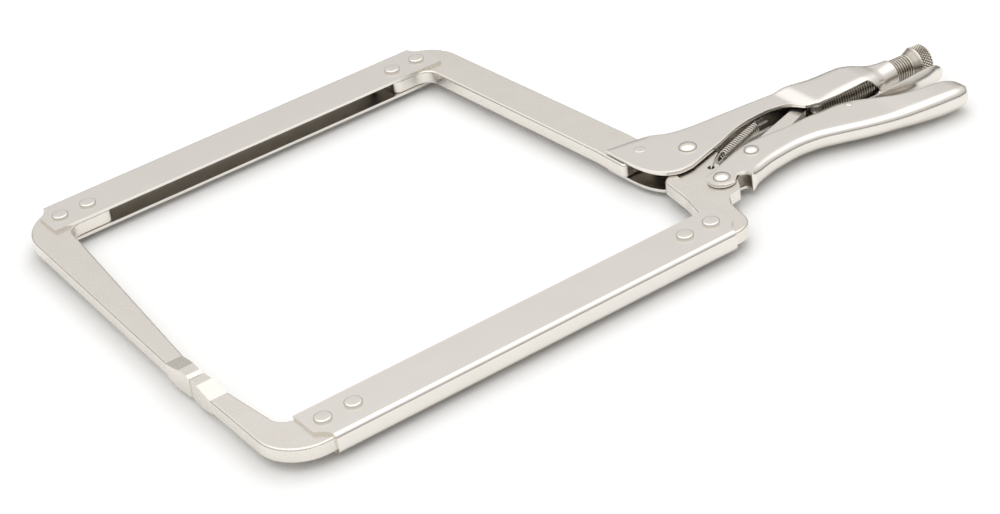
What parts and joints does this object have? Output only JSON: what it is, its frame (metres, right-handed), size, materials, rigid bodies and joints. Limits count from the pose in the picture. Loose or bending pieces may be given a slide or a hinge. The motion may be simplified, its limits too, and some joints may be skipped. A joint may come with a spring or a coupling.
{
  "type": "locking c clamp",
  "caption": "Deep-reach locking C clamp: channel arms riveted to forged jaws, toggle lever with release, and a knurled adjusting screw.",
  "frame": {"origin": "centre of the fixed jaw's clamping face, jaws closed", "axes": "+X from the jaws to the handle, +Y from the movable arm to the fixed arm, +Z along the pivots"},
  "size_m": [0.4572, 0.2949, 0.0188],
  "materials": {
    "plated_sheet": "satin nickel plate over folded sheet steel",
    "plated_forging": "satin nickel plate over forged steel",
    "plated_rivet": "satin nickel plate, pressed heads",
    "plated_screw": "bright nickel plate, cut thread and diamond knurl",
    "spring_wire": "bright drawn wire"
  },
  "bodies": {
    "fixed_frame": {"fixed_handle": "plated_sheet", "fixed_rear_bar": "plated_forging", "fixed_channel": "plated_sheet", "fixed_jaw": "plated_forging", "fixed_front_rivets": "plated_rivet", "fixed_rear_rivets": "plated_rivet", "bar_lock_rivet": "plated_rivet", "jaw_pivot_rivet": "plated_rivet", "return_spring": "spring_wire"},
    "movable_jaw_arm": {"movable_jaw_plate": "plated_forging", "movable_channel": "plated_sheet", "movable_jaw": "plated_forging", "movable_front_rivets": "plated_rivet", "movable_rear_rivets": "plated_rivet"},
    "locking_lever": {"lever": "plated_sheet", "link_rivet": "plated_rivet", "lever_pivot_rivet": "plated_rivet", "release_pin": "plated_rivet"},
    "toggle_link": {"toggle_link": "plated_forging"},
    "release_lever": {"release_lever": "plated_sheet"},
    "adjusting_screw": {"adjusting_screw": "plated_screw"}
  },
  "joints": [
    {"name": "jaw_swing", "type": "hinge", "parent": "fixed_frame", "child": "movable_jaw_arm", "pos_m": [0.2961, -0.009, 0], "axis": [0, 0, 1], "range_deg": [0, 22], "deforming": ["return_spring"]},
    {"name": "lever_swing", "type": "hinge", "parent": "movable_jaw_arm", "child": "locking_lever", "pos_m": [0.2893, -0.045, 0], "axis": [0, 0, 1], "range_deg": [-68, 0]},
    {"name": "link_swing", "type": "hinge", "parent": "locking_lever", "child": "toggle_link", "pos_m": [0.3175, -0.0352, 0], "axis": [0, 0, 1], "range_deg": [0, 76]},
    {"name": "release_press", "type": "hinge", "parent": "locking_lever", "child": "release_lever", "pos_m": [0.384, -0.0369, 0], "axis": [0, 0, 1], "range_deg": [-6, 0]},
    {"name": "screw_advance", "type": "slide", "parent": "fixed_frame", "child": "adjusting_screw", "axis": [0.9968, -0.0802, 0], "range_m": [0, 0.025]}
  ],
  "couplings": [
    {"joint": "lever_swing", "follows": "jaw_swing", "ratio": -3.0546},
    {"joint": "link_swing", "follows": "jaw_swing", "ratio": 3.4018}
  ]
}
